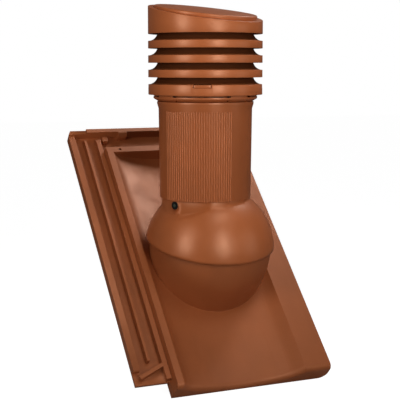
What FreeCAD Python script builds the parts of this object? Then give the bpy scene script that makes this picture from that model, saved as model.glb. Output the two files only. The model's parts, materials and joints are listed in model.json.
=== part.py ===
import FreeCAD, Part
import Sketcher
import math
import os

# Roof tile vent: an interlocking tile with a moulded bowl, a domed hood that tilts on it,
# a double-walled pipe and a louvred cap with a slanted lid.
# The frame has its origin at the centre of the dome, on the pipe's axis: Z up the pipe,
# Y level towards the ridge, X across the tile. All sizes are in millimetres and degrees.

SIZES = {
    # roof and tile
    "roof_pitch": 42.9,
    "head_reach": 249.0,
    "lip_reach": 201.0,
    "lock_reach": 184.0,
    "body_side": 96.5,
    "side_draft": 3.2,
    "cover_side": 127.0,
    "lock_width": 46.5,
    "crest_depth": 14.0,
    "trough_depth": 20.0,
    "skirt_depth": 28.0,
    "tile_wall": 3.2,
    "nose_radius": 7.5,
    "corner_radius": 12.0,
    "trough_left": 84.0,
    "trough_right": 89.0,
    "trough_shift": 2.0,
    "floor_radius": 260.0,
    "left_cove": 30.0,
    "right_cove": 55.0,
    # side lock
    "lock_drop": 8.0,
    "lock_depth": 8.0,
    "lock_plate": 4.0,
    "lock_band": 9.0,
    "lock_groove": 13.0,
    "lock_rib": 3.5,
    "lock_ribs_gap": 15.0,
    "inner_rib": 7.0,
    "rib_stop": 30.0,
    "inner_rib_stop": 1.0,
    "rib_head_gap": 10.0,
    "band_stop": 18.0,
    "corner_cut_width": 3.5,
    "corner_cut_length": 7.0,
    "water_bar": 5.0,
    "water_bar_inset": 7.5,
    "water_bar_grip": 1.0,
    # head of the tile
    "step_reach": 199.0,
    "step_width": 10.0,
    "head_bar": 7.0,
    "head_bar_drop": 2.0,
    "head_bar_inset": 27.8,
    "end_stop_drop": 5.5,
    "notch_width": 27.0,
    "nail_radius": 2.2,
    "nail_spread": 72.5,
    "stop_inset": 49.0,
    "stop_width": 13.3,
    "stop_depth": 5.5,
    "block_inset": 4.5,
    "block_width": 8.0,
    "block_length": 9.5,
    "block_gap": 4.0,
    "nib_spread": 60.0,
    "nib_width": 34.0,
    "nib_depth": 24.0,
    "nib_length": 11.0,
    "nib_reach": 212.0,
    # bowl and its opening
    "bowl_radius": 83.0,
    "bowl_shift": 9.5,
    "bowl_wall": 3.0,
    "bowl_draft": 3.0,
    "opening_lean": 35.0,
    "opening_radius": 58.5,
    "opening_travel": 13.0,
    # pivot
    "pin_radius": 6.0,
    "pin_reach": 69.0,
    "lug_reach": 61.5,
    "lug_length": 8.0,
    "lug_width": 13.5,
    "lug_height": 12.0,
    "cap_height": 12.0,
    "lug_screw_spread": 9.8,
    "lug_screw_radius": 1.9,
    "lug_screw_grip": 8.0,
    "lug_hole_spare": 1.5,
    "lug_bore_spare": 1.0,
    "lug_screw_head": 3.6,
    "lug_screw_head_height": 2.4,
    "ring_wall": 6.4,
    "ring_half": 8.0,
    "running_gap": 0.08,
    "seat_gap": 0.2,
    # inner duct
    "duct_radius": 50.0,
    "duct_wall": 2.5,
    "duct_bottom": 45.0,
    "duct_top": 236.0,
    "duct_lead_in": 1.0,
    "lock_seat": 1.0,
    "shoulder_height": 4.0,
    "shoulder_width": 4.0,
    # hood
    "hood_turn": 2.9,
    "hood_shift": 6.2,
    "hood_gap": 5.0,
    "hood_wall": 2.6,
    "collar_radius": 60.5,
    "collar_top": 94.0,
    "flat_tilt": 28.0,
    "flat_reach": 77.0,
    "rim_tilt": 12.8,
    "rim_height": 12.74,
    "rear_relief": 11.9,
    # pieces inside the collar
    "slip_gap": 0.1,
    "centre_ring_bottom": 62.8,
    "centre_ring_top": 92.0,
    "screw_turn": 26.4,
    "screw_height": 66.8,
    "screw_radius": 2.3,
    "screw_head_radius": 5.4,
    "screw_head_height": 1.2,
    "screw_boss_radius": 6.3,
    "screw_boss_height": 1.4,
    "screw_socket": 2.0,
    "screw_tip_gap": 0.5,
    "seal_height": 87.0,
    "seal_width": 3.0,
    "seal_depth": 1.0,
    # outer pipe
    "pipe_turn": -75.0,
    "pipe_bottom": 73.2,
    "collar_gap": 0.3,
    "pipe_flare": 1.4,
    "pipe_neck": 195.4,
    "bell_step": 2.0,
    "bell_bottom": 202.2,
    "bell_top": 204.9,
    "bell_wall": 4.0,
    "pipe_wall": 2.0,
    "stop_height": 3.0,
    "rib_count": 20.0,
    "rib_sector": 80.0,
    "rib_width": 2.8,
    "rib_proud": 0.6,
    "rib_top": 192.5,
    "sleeve_top": 183.0,
    "spacer_height": 6.0,
    # cap
    "cap_turn": 20.7,
    "cap_radius": 78.0,
    "cap_wall": 2.5,
    "louvre_bottom": 237.7,
    "louvre_pitch": 19.4,
    "face_height": 10.0,
    "flare_radius": 13.0,
    "flare_lift": 1.0,
    "ledge_rise": 12.5,
    "base_bottom": 214.3,
    "tab_angle": 18.0,
    "tab_height": 4.5,
    "collar_spigot": 15.0,
    "cone_radius": 71.0,
    "cone_step": 1.9,
    "cone_top": 209.3,
    "shelf_rise": 6.75,
    "collar_clip": 222.0,
    "window_depth": 7.5,
    "hook_angle": 17.0,
    "hook_gap": 0.3,
    "hook_turn": 64.3,
    "slit_turn": -1.8,
    "slit_angle": 61.5,
    "slit_height": 0.8,
    "slit_level": 212.0,
    "slit_end": 4.8,
    "slit_end_height": 1.9,
    "notch_angle": 2.6,
    "notch_height": 2.2,
    "notch_depth": 2.0,
    "slope": 10.4,
    "crown_rise": 28.2,
    "roof_wall": 2.6,
    "lid_radius": 70.5,
    "lid_height": 3.9,
    "lid_taper": 1.5,
    "lid_spigot": 60.0,
    "lid_spigot_depth": 6.0,
    "lid_grip": 1.0,
    "lid_round": 1.6,
}

DOC = FreeCAD.newDocument("RoofTileVent")
Vector = FreeCAD.Vector
AXIS_X = Vector(1, 0, 0)
AXIS_Y = Vector(0, 1, 0)
AXIS_Z = Vector(0, 0, 1)
FAR = 400.0
SPARE = 1.0
NEAR = 0.1
LOUVRES = ("lower", "middle", "upper")
NODES = {}


class Size:
    """A length or an angle that keeps both its value and the sheet expression behind it."""

    def __init__(self, value, text):
        self.value = value
        self.text = text

    def joined(self, other, sign, value):
        return Size(value, "(%s %s %s)" % (self.text, sign, other.text))

    def __add__(self, other):
        other = as_size(other)
        return self.joined(other, "+", self.value + other.value)

    def __sub__(self, other):
        other = as_size(other)
        return self.joined(other, "-", self.value - other.value)

    def __mul__(self, other):
        other = as_size(other)
        return self.joined(other, "*", self.value * other.value)

    def __truediv__(self, other):
        other = as_size(other)
        return self.joined(other, "/", self.value / other.value)

    def __neg__(self):
        return Size(-self.value, "(0 - %s)" % self.text)


def as_size(item):
    return item if isinstance(item, Size) else Size(float(item), repr(float(item)))


def root(size):
    return Size(math.sqrt(size.value), "sqrt(%s)" % size.text)


def cosine(size):
    return Size(math.cos(math.radians(size.value)), "cos(%s)" % size.text)


def sine(size):
    return Size(math.sin(math.radians(size.value)), "sin(%s)" % size.text)


class Sheet:
    """The driving sizes, read as attributes of the sheet that holds them."""

    def __init__(self, sizes):
        self.cells = DOC.addObject("Spreadsheet::Sheet", "Sizes")
        for row, (name, value) in enumerate(sizes.items(), start=1):
            self.cells.set("A%d" % row, name)
            self.cells.set("B%d" % row, str(value))
            self.cells.setAlias("B%d" % row, name)
        DOC.recompute()

    def __getattr__(self, name):
        return Size(float(self.cells.get(name)), "Sizes." + name)


S = Sheet(SIZES)


def bind(item, **sizes):
    """Sets properties of an object from sizes, and keeps them tied to the sheet."""
    for name, size in sizes.items():
        path = name.replace("_at_", "Placement.Base.")
        size = as_size(size)
        if path == name:
            setattr(item, name, size.value)
        item.setExpression(path, size.text)


def keep(name, item):
    """Names a finished sub-part after its node."""
    item.Label = name
    NODES[name] = item
    return item


def turn_about_z(item, angle):
    item.Placement = FreeCAD.Placement(item.Placement.Base, FreeCAD.Rotation(AXIS_Z, angle.value))
    item.setExpression("Placement.Rotation.Angle", angle.text)


def new_body(name):
    return DOC.addObject("PartDesign::Body", name)


def origin_plane(body, role):
    return next(plane for plane in body.Origin.OriginFeatures if plane.Role == role)


def arc_between(start, end, radius):
    """An arc of the given radius: positive bulges to the right of the way from start to end."""
    chord = end - start
    middle = (start + end) * 0.5
    side = Vector(-chord.y, chord.x, 0).normalize()
    sagging = math.sqrt(max(radius ** 2 - (chord.Length / 2) ** 2, 0.0))
    centre = middle + side * math.copysign(sagging, radius)
    angles = [math.atan2(point.y - centre.y, point.x - centre.x) for point in (start, end)]
    forward = radius > 0
    if not forward:
        angles.reverse()
    circle = Part.Circle(centre, AXIS_Z, abs(radius))
    return Part.ArcOfCircle(circle, angles[0], angles[1]), forward


def pin_point(sketch, item, end, corner):
    """Fixes one end of a line or arc at its corner, each way by its own size."""
    for kind, axis, place in (("DistanceX", -2, corner[0]), ("DistanceY", -1, corner[1])):
        size = as_size(place)
        if size.value == 0.0:
            sketch.addConstraint(Sketcher.Constraint("PointOnObject", item, end, axis))
        else:
            rank = sketch.addConstraint(Sketcher.Constraint(kind, item, end, size.value))
            sketch.setExpression("Constraints[%d]" % rank, size.text)


def draw(body, role, corners, lift=None):
    """A closed outline on an origin plane. A corner is (x, y) or (x, y, radius of the arc that
    leaves it), and every corner is tied to the sheet."""
    sketch = body.newObject("Sketcher::SketchObject", body.Name + "_outline")
    sketch.AttachmentSupport = (origin_plane(body, role), [""])
    sketch.MapMode = "FlatFace"
    if lift is not None:
        sketch.AttachmentOffset = FreeCAD.Placement(AXIS_Z * lift.value, FreeCAD.Rotation())
        sketch.setExpression("AttachmentOffset.Base.z", lift.text)
    points = [Vector(as_size(c[0]).value, as_size(c[1]).value, 0) for c in corners]
    ends = []
    for rank, corner in enumerate(corners):
        start, end = points[rank], points[(rank + 1) % len(points)]
        if len(corner) == 2:
            item = sketch.addGeometry(Part.LineSegment(start, end), False)
            ends.append((item, 1, 2))
            continue
        bend = as_size(corner[2])
        arc, forward = arc_between(start, end, bend.value)
        item = sketch.addGeometry(arc, False)
        ends.append((item, 1, 2) if forward else (item, 2, 1))
        reach = bend if forward else -bend
        limit = sketch.addConstraint(Sketcher.Constraint("Radius", item, reach.value))
        sketch.setExpression("Constraints[%d]" % limit, reach.text)
    for rank, (item, first, _) in enumerate(ends):
        before, _, last = ends[rank - 1]
        sketch.addConstraint(Sketcher.Constraint("Coincident", before, last, item, first))
        pin_point(sketch, item, first, corners[rank])
    return sketch


def spun(body, corners):
    """A turned form: an outline of (radius, height) corners, spun about the Z axis."""
    sketch = draw(body, "XZ_Plane", corners)
    feature = body.newObject("PartDesign::Revolution", body.Name + "_turned")
    feature.Profile = sketch
    feature.ReferenceAxis = (sketch, ["V_Axis"])
    feature.Angle = 360.0
    return feature


def raised(body, sketch, height, kind="PartDesign::Pad"):
    feature = body.newObject(kind, body.Name + "_" + kind.split("::")[1].lower())
    feature.Profile = sketch
    bind(feature, Length=height)
    return feature


def ringed(body, feature, count, angle=360.0):
    """Repeats a feature round the Z axis."""
    pattern = body.newObject("PartDesign::PolarPattern", body.Name + "_pattern")
    pattern.Originals = [feature]
    pattern.Axis = (origin_plane(body, "Z_Axis"), [""])
    pattern.Angle = angle
    pattern.Occurrences = count
    body.Tip = pattern
    return pattern


def sector(inner, outer, angle, turn=0.0):
    """The outline of a curved block that spans an angle, centred on the Y axis's lower side or
    turned from there."""
    low, high = as_size(turn) - angle / 2, as_size(turn) + angle / 2
    return [
        (inner * sine(low), -inner * cosine(low), inner),
        (inner * sine(high), -inner * cosine(high)),
        (outer * sine(high), -outer * cosine(high), -outer),
        (outer * sine(low), -outer * cosine(low)),
    ]


def windows(body, outline, level, height):
    """Cuts an outline upward from a level, four times round."""
    cut = raised(body, draw(body, "XY_Plane", outline, level), height, "PartDesign::Pocket")
    cut.Reversed = True
    ringed(body, cut, 4)


# Tile moulding: a hollow panel with a curved trough, side lock, head bars and bowl

def box(low, high):
    return Part.makeBox(high[0] - low[0], high[1] - low[1], high[2] - low[2], Vector(*low))


def lock_top():
    return -SIZES["crest_depth"] - SIZES["lock_drop"]


def lock_floor():
    return lock_top() - SIZES["lock_depth"]


def cove_corners(crest, edge, radius, skin):
    """Where a cove leaves the crest plane and where it runs into the trough's floor arc."""
    floor = SIZES["floor_radius"]
    bottom = -SIZES["crest_depth"] - SIZES["trough_depth"]
    floor_centre = Vector(SIZES["trough_shift"], 0, bottom + floor)
    lip = Vector(edge, 0, -SIZES["crest_depth"])
    span = lip - floor_centre
    along = ((floor - radius) ** 2 - radius ** 2 + span.Length ** 2) / (2 * span.Length)
    aside = math.sqrt((floor - radius) ** 2 - along ** 2)
    unit = span * (1 / span.Length)
    square = Vector(unit.z, 0, -unit.x) * math.copysign(1, edge)
    centre = floor_centre + unit * along + square * aside
    wide = radius + skin
    start = Vector(centre.x + math.copysign(math.sqrt(wide ** 2 - (centre.z - crest) ** 2), edge), 0, crest)
    end = floor_centre + (centre - floor_centre) * ((floor + skin) / (floor - radius))
    return start, centre, end, floor_centre


def curve(start, end, centre):
    radius = (start - centre).Length
    middle = (start + end) * 0.5 - centre
    return Part.Arc(start, centre + middle * (radius / middle.Length), end).toShape()


def trough_section(skin, bottom, side_skin):
    """The tile body's cross-section, or with a skin the hollow under it."""
    crest = -SIZES["crest_depth"] - skin
    foot = Vector(-SIZES["body_side"] + side_skin, 0, lock_floor() - skin)
    left = Vector(foot.x + SIZES["side_draft"], 0, crest)
    right = Vector(SIZES["cover_side"] - side_skin, 0, crest)
    near, near_centre, near_end, floor_centre = cove_corners(
        crest, -SIZES["trough_left"], SIZES["left_cove"], skin)
    far, far_centre, far_end, _ = cove_corners(crest, SIZES["trough_right"], SIZES["right_cove"], skin)
    low_left = Vector(foot.x, 0, bottom)
    low_right = Vector(right.x, 0, bottom)
    return Part.Face(Part.Wire([
        Part.makeLine(low_left, foot),
        Part.makeLine(foot, left),
        Part.makeLine(left, near),
        curve(near, near_end, near_centre),
        curve(near_end, far_end, floor_centre),
        curve(far_end, far, far_centre),
        Part.makeLine(far, right),
        Part.makeLine(right, low_right),
        Part.makeLine(low_right, low_left),
    ]))


def trough_block(skin, bottom, side_skin, start, end):
    face = trough_section(skin, bottom, side_skin)
    face.translate(AXIS_Y * start)
    return face.extrude(AXIS_Y * (end - start))


def edges_where(shape, test):
    found = []
    for edge in shape.Edges:
        middle = edge.valueAt((edge.FirstParameter + edge.LastParameter) / 2)
        if test(edge, middle):
            found.append(edge)
    return found


def bowl_form(skin, bottom):
    """The bowl's outside, or with a skin its inside: half a ball on a drafted foot."""
    centre = Vector(SIZES["bowl_shift"], 0, 0)
    radius = SIZES["bowl_radius"] - skin
    ball = Part.makeSphere(radius, centre).common(box((-FAR, -FAR, 0), (FAR, FAR, FAR)))
    spread = -bottom * math.tan(math.radians(SIZES["bowl_draft"]))
    foot = Part.makeCone(radius + spread, radius, -bottom, centre + AXIS_Z * bottom)
    return ball.fuse(foot)


def tile_panel():
    """The solid outside of the panel with the bowl that rises from its trough."""
    skirt = -SIZES["crest_depth"] - SIZES["skirt_depth"]
    crest = -SIZES["crest_depth"]
    panel = trough_block(0, skirt, 0, -SIZES["lip_reach"], SIZES["step_reach"])
    front = edges_where(panel, lambda edge, at: abs(at.y + SIZES["lip_reach"]) < NEAR and at.z > skirt + SPARE
                        and abs(edge.tangentAt(edge.FirstParameter).x) > 0.5)
    panel = panel.makeFillet(SIZES["nose_radius"], front)
    corner = edges_where(panel, lambda edge, at: at.x > SIZES["cover_side"] - NEAR and at.z < skirt + NEAR)
    panel = panel.makeFillet(SIZES["corner_radius"], corner)
    joined = panel.fuse(bowl_form(0, skirt))
    left, right = -SIZES["body_side"], SIZES["cover_side"]
    outline = [(left, skirt), (left, lock_floor()), (left + SIZES["side_draft"], crest), (right, crest),
               (right, skirt), (left, skirt)]
    step = Part.Face(Part.makePolygon([Vector(x, SIZES["step_reach"], z) for x, z in outline]))
    return joined.fuse(step.extrude(AXIS_Y * SIZES["step_width"]))


def tile_hollow():
    """The space under the panel and inside the bowl, and the sweep of the pipe's opening."""
    wall = SIZES["tile_wall"]
    skirt = -SIZES["crest_depth"] - SIZES["skirt_depth"]
    under = trough_block(wall, skirt - SPARE, wall, -SIZES["lip_reach"] + wall, SIZES["step_reach"] - wall)
    inside = bowl_form(SIZES["bowl_wall"], skirt - SPARE)
    radius, travel = SIZES["opening_radius"], SIZES["opening_travel"]
    slot = box((-radius, -travel, 0), (radius, travel, FAR))
    for side in (-travel, travel):
        slot = slot.fuse(Part.makeCylinder(radius, FAR, Vector(0, side, 0)))
    slot.rotate(Vector(), AXIS_X, -SIZES["opening_lean"])
    return under.fuse(inside).fuse(slot)


def side_lock():
    """The low strip on the left that the next tile laps over: plate, band, ribs and water bar."""
    inner = -SIZES["body_side"]
    outer = inner - SIZES["lock_width"]
    top, floor = lock_top(), lock_floor()
    start, end = -SIZES["lock_reach"], SIZES["head_reach"]
    lock = box((outer, start, floor - SIZES["lock_plate"]), (inner, end, floor))
    band_end = start + SIZES["band_stop"]
    lock = lock.fuse(box((outer, band_end, floor), (outer + SIZES["lock_band"], end, top)))
    groove = outer + SIZES["lock_band"] + SIZES["lock_groove"]
    rib_end = end - SIZES["head_bar"] - SIZES["rib_head_gap"]
    outer_rib = box((groove, start + SIZES["rib_stop"], floor), (groove + SIZES["lock_rib"], rib_end, top))
    second = groove + SIZES["lock_rib"] + SIZES["lock_ribs_gap"]
    inner_rib = box((second, start + SIZES["inner_rib_stop"], floor),
                    (second + SIZES["inner_rib"], rib_end, top))
    lock = lock.fuse([outer_rib, inner_rib])
    run = Vector(second - outer, SIZES["band_stop"], 0)
    bar = Part.makeBox(run.Length, SIZES["water_bar"], top - floor)
    bar.rotate(Vector(), AXIS_Z, math.degrees(math.atan2(run.y, run.x)))
    bar.translate(Vector(outer + SIZES["water_bar_inset"], start + SIZES["water_bar"], floor))
    lock = lock.fuse(bar.common(box((outer, start, floor), (second + SIZES["water_bar_grip"], end, top))))
    return lock


def outer_corner():
    """What is cut off the head's outer corner."""
    outer, end = -SIZES["body_side"] - SIZES["lock_width"], SIZES["head_reach"]
    corner = Part.makePolygon([
        Vector(outer, end, -FAR),
        Vector(outer + SIZES["corner_cut_width"], end, -FAR),
        Vector(outer, end - SIZES["corner_cut_length"], -FAR),
        Vector(outer, end, -FAR),
    ])
    return Part.Face(corner).extrude(AXIS_Z * 2 * FAR)


def tile_head():
    """The head: channel plate, cross bar, its little stops, and the two hanging nibs."""
    top, floor = lock_top(), lock_floor()
    under = floor - SIZES["lock_plate"]
    step_end = SIZES["step_reach"] + SIZES["step_width"]
    end = SIZES["head_reach"]
    bar_foot = end - SIZES["head_bar"]
    left, right = -SIZES["body_side"], SIZES["cover_side"]
    short = right - SIZES["notch_width"]
    head = box((left, step_end, under), (short, end, floor))
    bar_left = left - SIZES["lock_width"] + SIZES["head_bar_inset"]
    bar_top = -SIZES["crest_depth"] - SIZES["head_bar_drop"]
    bar = box((bar_left, bar_foot, floor), (short, end, bar_top))
    end_stop = box((left - SIZES["lock_width"], bar_foot, floor),
                   (bar_left, end, -SIZES["crest_depth"] - SIZES["end_stop_drop"]))
    head = head.fuse([bar, end_stop])
    for side in (-1, 1):
        middle = side * SIZES["nib_spread"]
        low = (middle - SIZES["nib_width"] / 2, SIZES["nib_reach"], under - SIZES["nib_depth"])
        high = (middle + SIZES["nib_width"] / 2, SIZES["nib_reach"] + SIZES["nib_length"], under)
        head = head.fuse(box(low, high))
    stop_left = bar_left + SIZES["stop_inset"]
    stop = box((stop_left, bar_foot - SIZES["stop_depth"], floor),
               (stop_left + SIZES["stop_width"], bar_foot, bar_top))
    block_end = bar_foot - SIZES["block_gap"]
    block = box((left + SIZES["block_inset"], block_end - SIZES["block_length"], floor),
                (left + SIZES["block_inset"] + SIZES["block_width"], block_end, top))
    return head.fuse([stop, block])


def pivot_lugs():
    """Half bearings inside the bowl, one on each side, open towards the roof space."""
    bore = SIZES["pin_radius"] + SIZES["running_gap"]
    wide, reach = SIZES["lug_width"], SIZES["lug_reach"]
    skin = Part.makeSphere(SIZES["bowl_radius"] - SIZES["bowl_wall"] / 2, Vector(SIZES["bowl_shift"], 0, 0))
    lugs = []
    for side in (-1, 1):
        ends = sorted((side * reach, side * (SIZES["bowl_radius"] + SIZES["bowl_shift"])))
        lug = box((ends[0], -wide, 0), (ends[1], wide, SIZES["lug_height"])).common(skin)
        pin = Part.makeCylinder(bore, 2 * FAR, Vector(-FAR, 0, 0), AXIS_X)
        stop = sorted((side * reach, side * (SIZES["pin_reach"] + SIZES["lug_bore_spare"])))
        pin = pin.common(box((stop[0], -FAR, -FAR), (stop[1], FAR, FAR)))
        lug = lug.cut(pin)
        for way in (-1, 1):
            at = Vector(side * (reach + SIZES["lug_length"] / 2), way * SIZES["lug_screw_spread"], -SPARE)
            lug = lug.cut(Part.makeCylinder(SIZES["lug_screw_radius"] + SIZES["slip_gap"] / 2,
                                            SIZES["lug_screw_grip"] + SIZES["lug_hole_spare"] + SPARE, at))
        lugs.append(lug)
    return lugs


def lean_to_roof(item):
    item.Placement = FreeCAD.Placement(Vector(), FreeCAD.Rotation(AXIS_X, S.roof_pitch.value))
    item.setExpression("Placement.Rotation.Angle", S.roof_pitch.text)


def base_tile():
    shape = tile_panel().cut(tile_hollow()).fuse([side_lock(), tile_head()]).cut(outer_corner())
    step_middle = SIZES["step_reach"] + SIZES["step_width"] / 2
    for side in (-1, 1):
        foot = Vector(side * SIZES["nail_spread"], step_middle, -FAR)
        nail = Part.makeCylinder(SIZES["nail_radius"], 2 * FAR, foot)
        shape = shape.cut(nail)
    shape = shape.fuse(pivot_lugs()).removeSplitter()
    tile = DOC.addObject("Part::Feature", "base_tile")
    tile.Shape = shape
    lean_to_roof(tile)
    return keep("base_tile", tile)


def pivot_cap(name, side):
    """The loose half of a bearing, screwed up against its lug."""
    wide = SIZES["lug_width"]
    ends = sorted((side * SIZES["lug_reach"], side * (SIZES["lug_reach"] + SIZES["lug_length"])))
    cap = box((ends[0], -wide, -SIZES["cap_height"]), (ends[1], wide, 0))
    bore = Part.makeCylinder(SIZES["pin_radius"] + SIZES["running_gap"], 2 * FAR, Vector(-FAR, 0, 0), AXIS_X)
    cap = cap.cut(bore)
    middle = side * (SIZES["lug_reach"] + SIZES["lug_length"] / 2)
    hole = SIZES["lug_screw_radius"] + SIZES["slip_gap"] / 2
    for way in (-1, 1):
        at = Vector(middle, way * SIZES["lug_screw_spread"], -FAR)
        cap = cap.cut(Part.makeCylinder(hole, 2 * FAR, at))
    item = DOC.addObject("Part::Feature", name)
    item.Shape = cap
    lean_to_roof(item)
    return keep(name, item)


def pivot_screws(name, side):
    """The two screws of one bearing, heads towards the roof space."""
    middle = side * (SIZES["lug_reach"] + SIZES["lug_length"] / 2)
    screws = []
    for way in (-1, 1):
        at = Vector(middle, way * SIZES["lug_screw_spread"], -SIZES["cap_height"])
        stem = Part.makeCylinder(SIZES["lug_screw_radius"], SIZES["cap_height"] + SIZES["lug_screw_grip"], at)
        low = at - AXIS_Z * SIZES["lug_screw_head_height"]
        head = Part.makeCylinder(SIZES["lug_screw_head"], SIZES["lug_screw_head_height"], low)
        screws.append(stem.fuse(head).removeSplitter())
    item = DOC.addObject("Part::Feature", name)
    item.Shape = Part.makeCompound(screws)
    lean_to_roof(item)
    return keep(name, item)


def pipe_foot_radius():
    """The outer pipe slips over the hood's collar."""
    return S.collar_radius + S.collar_gap + S.pipe_wall


def pipe_head_radius():
    return pipe_foot_radius() + S.pipe_flare


def bell_radius():
    return pipe_head_radius() + S.bell_step


def pipe_radius(level):
    """The drafted outer pipe's radius at a height."""
    slope = (pipe_head_radius() - pipe_foot_radius()) / (S.pipe_neck - S.pipe_bottom)
    return pipe_foot_radius() + slope * (as_size(level) - S.pipe_bottom)


# Pivot ring and inner duct

def pivot_ring():
    body = new_body("pivot_ring")
    inner = S.duct_radius + S.running_gap
    outer = inner + S.ring_wall
    spun(body, [(inner, -S.ring_half), (outer, -S.ring_half), (outer, S.ring_half), (inner, S.ring_half)])
    for side, role in ((1, "first"), (-1, "second")):
        pin = body.newObject("PartDesign::AdditiveCylinder", "pivot_pin_" + role)
        length = S.pin_reach - S.duct_radius - S.ring_wall / 2
        bind(pin, Radius=S.pin_radius, Height=length)
        start = S.duct_radius + S.ring_wall / 2
        pin.Placement = FreeCAD.Placement(Vector(side * start.value, 0, 0), FreeCAD.Rotation(AXIS_Y, side * 90))
        pin.setExpression("Placement.Base.x", (start * side).text)
    return keep("pivot_ring", body)


def inner_duct():
    """The flow pipe: a plain spigot for a hose below, and a shoulder that rides on the pivot ring."""
    body = new_body("inner_duct")
    inner = S.duct_radius - S.duct_wall
    ride = S.ring_half + S.seat_gap
    seat = S.duct_radius - S.lock_seat
    collar = S.duct_radius + S.shoulder_width
    spun(body, [
        (inner, -S.duct_bottom),
        (S.duct_radius - S.duct_lead_in, -S.duct_bottom),
        (S.duct_radius, -S.duct_bottom + S.duct_lead_in),
        (S.duct_radius, -ride - S.shoulder_height),
        (seat, -ride - S.shoulder_height),
        (seat, -ride),
        (S.duct_radius, -ride),
        (S.duct_radius, ride),
        (collar, ride),
        (collar, ride + S.shoulder_height),
        (S.duct_radius, ride + S.shoulder_height + S.shoulder_width),
        (S.duct_radius, S.duct_top),
        (inner, S.duct_top),
    ])
    return keep("inner_duct", body)


def plain_ring(name, inner, outer, bottom, top):
    body = new_body(name)
    spun(body, [(inner, bottom), (outer, bottom), (outer, top), (inner, top)])
    return keep(name, body)


def duct_lock_ring():
    """Snaps into the duct's groove and holds the duct down in the pivot ring."""
    top = -S.ring_half - S.seat_gap
    outer = S.duct_radius + S.shoulder_width
    return plain_ring("duct_lock_ring", S.duct_radius - S.lock_seat, outer, top - S.shoulder_height, top)


# Hood

def primitive(kind, name, **sizes):
    item = DOC.addObject("Part::" + kind, name)
    bind(item, **sizes)
    return item


def half_space(name, tilt_axis, tilt, height, upper):
    """A big box above or below a plane that leans about one axis at a height on the Z axis."""
    item = DOC.addObject("Part::Box", name)
    item.Length = item.Width = item.Height = 2 * FAR
    spin = FreeCAD.Rotation(tilt_axis, tilt.value)
    corner = Vector(-FAR, -FAR, 0 if upper else -2 * FAR)
    item.Placement = FreeCAD.Placement(spin.multVec(corner) + AXIS_Z * height.value, spin)
    return item


def boolean(kind, name, base, tool):
    item = DOC.addObject("Part::" + kind, name)
    item.Base = base
    item.Tool = tool
    return item


def hood_form(name, ball_radius, neck_radius, top, flat_reach):
    """A ball that sits a little aside of its round neck, with a flat where the screw goes in."""
    ball = primitive("Sphere", name + "_ball", Radius=ball_radius)
    bind(ball, _at_x=S.hood_shift * cosine(S.screw_turn), _at_y=-S.hood_shift * sine(S.screw_turn))
    above = half_space(name + "_flat", -AXIS_Y, S.flat_tilt, flat_reach / cosine(S.flat_tilt), True)
    trimmed = boolean("Cut", name + "_trimmed", ball, above)
    neck = primitive("Cylinder", name + "_neck", Radius=neck_radius, Height=top)
    return boolean("Fuse", name, trimmed, neck)


def hood():
    """The dome that rides over the bowl: a ball shell with a collar and a rim that rises to the rear."""
    ball = S.bowl_radius + S.hood_gap + S.hood_wall
    outside = hood_form("hood_outside", ball, S.collar_radius, S.collar_top, S.flat_reach)
    inside = hood_form("hood_inside", ball - S.hood_wall, S.collar_radius - S.hood_wall,
                       S.collar_top + SPARE, S.flat_reach - S.hood_wall)
    boss = primitive("Cylinder", "hood_boss", Radius=S.screw_boss_radius,
                     Height=S.collar_radius + S.screw_boss_height)
    boss.Placement = FreeCAD.Placement(AXIS_Z * S.screw_height.value, FreeCAD.Rotation(AXIS_Y, -90))
    boss.setExpression("Placement.Base.z", S.screw_height.text)
    bossed = boolean("Fuse", "hood_bossed", outside, boss)
    shell = boolean("Cut", "hood_shell", bossed, inside)
    hole = primitive("Cylinder", "hood_screw_hole", Radius=S.screw_radius + S.slip_gap,
                     Height=S.collar_radius * 2)
    hole.Placement = FreeCAD.Placement(AXIS_Z * S.screw_height.value, FreeCAD.Rotation(AXIS_Y, -90))
    hole.setExpression("Placement.Base.z", S.screw_height.text)
    drilled = boolean("Cut", "hood_drilled", shell, hole)
    groove = tube("hood_seal_groove", S.collar_radius + SPARE, S.collar_radius - S.seal_depth,
                  S.seal_height - S.seal_width / 2, S.seal_height + S.seal_width / 2)
    grooved = boolean("Cut", "hood_grooved", drilled, groove)
    turn_about_z(grooved, S.screw_turn)
    rim_axis = FreeCAD.Rotation(AXIS_Z, S.hood_turn.value).multVec(AXIS_X)
    below = half_space("hood_below_rim", rim_axis, S.rim_tilt, S.rim_height, False)
    rimmed = boolean("Cut", "hood_rimmed", grooved, below)
    under = half_space("hood_rear_relief", AXIS_X, S.roof_pitch, -S.rear_relief, False)
    return keep("hood", boolean("Cut", "hood", rimmed, under))


def centre_ring():
    """Fills the space between the duct and the hood's collar, and takes the lock screw."""
    body = new_body("centre_ring")
    inner, outer = S.duct_radius + S.slip_gap, S.collar_radius - S.hood_wall - S.slip_gap
    spun(body, [(inner, S.centre_ring_bottom), (outer, S.centre_ring_bottom),
                (outer, S.centre_ring_top), (inner, S.centre_ring_top)])
    hole = body.newObject("PartDesign::SubtractiveCylinder", "centre_ring_hole")
    bind(hole, Radius=S.screw_radius + S.slip_gap / 2, Height=S.collar_radius)
    hole.Placement = FreeCAD.Placement(AXIS_Z * S.screw_height.value, FreeCAD.Rotation(AXIS_Y, -90))
    hole.setExpression("Placement.Base.z", S.screw_height.text)
    turn_about_z(body, S.screw_turn)
    return keep("centre_ring", body)


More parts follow.
